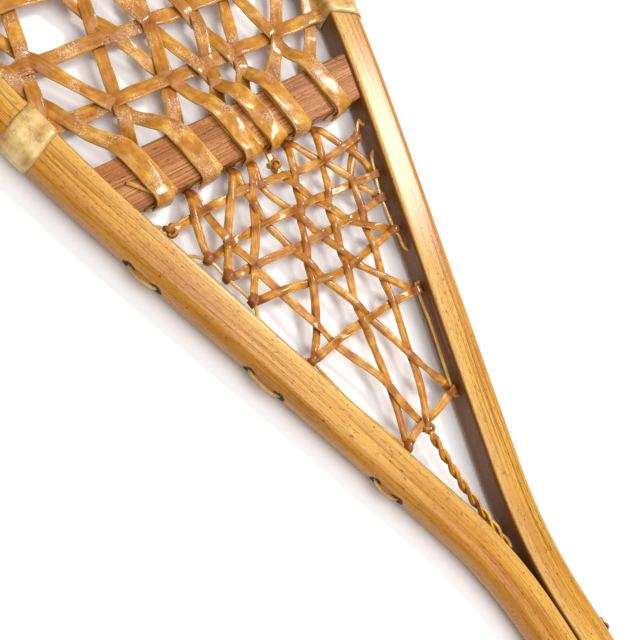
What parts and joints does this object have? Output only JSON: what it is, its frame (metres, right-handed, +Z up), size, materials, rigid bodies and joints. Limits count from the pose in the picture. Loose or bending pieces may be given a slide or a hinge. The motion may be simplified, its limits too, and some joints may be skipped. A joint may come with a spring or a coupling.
{
  "type": "snowshoe",
  "caption": "Teardrop snowshoe: bent ash frame joined in a long tail, upturned toe, two crossbars, and woven rawhide lacing with a toe hole.",
  "frame": {"origin": "middle of the bounding box in plan, at the level of the ground under the rawhide turns that the shoe stands on", "axes": "+X along the shoe to the toe, +Y to the left rail, +Z up out of the walking surface"},
  "size_m": [0.914, 0.282, 0.0677],
  "materials": {
    "frame_ash": "straight-grained ash, steam bent, with a glossy amber varnish",
    "crossbar_wood": "reddish-brown hardwood with fine grain lines, satin varnish",
    "lacing_rawhide": "varnished rawhide lace, translucent amber with darker crossings",
    "heavy_rawhide": "wide varnished rawhide lace, amber",
    "lanyard_rawhide": "thin varnished rawhide cord, amber",
    "rail_rawhide": "pale mottled rawhide, flat turns, varnished",
    "crossbar_rawhide": "golden rawhide turns with pale creases, varnished",
    "rivet_brass": "soft copper-coloured rivets and washers, slightly dull"
  },
  "bodies": {
    "root": {"foot_lacing": "heavy_rawhide", "foot_lacing_left": "heavy_rawhide", "foot_lacing_right": "heavy_rawhide", "frame": "frame_ash", "heel_crossbar": "crossbar_wood", "heel_crossbar_thong": "lanyard_rawhide", "heel_crossbar_turns": "crossbar_rawhide", "rail_turns_left_1": "rail_rawhide", "rail_turns_left_2": "rail_rawhide", "rail_turns_left_3": "rail_rawhide", "rail_turns_right_1": "rail_rawhide", "rail_turns_right_2": "rail_rawhide", "rail_turns_right_3": "rail_rawhide", "tail_apex_knot": "lacing_rawhide", "tail_bar_knot": "lacing_rawhide", "tail_lacing": "lacing_rawhide", "tail_lanyard_left": "lanyard_rawhide", "tail_lanyard_right": "lanyard_rawhide", "tail_rivet_burrs": "rivet_brass", "tail_rivets": "rivet_brass", "tail_side_knot": "lacing_rawhide", "tail_start_knot": "lacing_rawhide", "tail_twist_cord": "lacing_rawhide", "toe_cord": "heavy_rawhide", "toe_cord_turns_left": "rail_rawhide", "toe_cord_turns_right": "rail_rawhide", "toe_crossbar": "crossbar_wood", "toe_crossbar_turns": "crossbar_rawhide", "toe_hole_cord_left": "heavy_rawhide", "toe_hole_cord_right": "heavy_rawhide", "toe_lacing": "lacing_rawhide", "toe_lanyard": "lanyard_rawhide"}
  },
  "joints": []
}
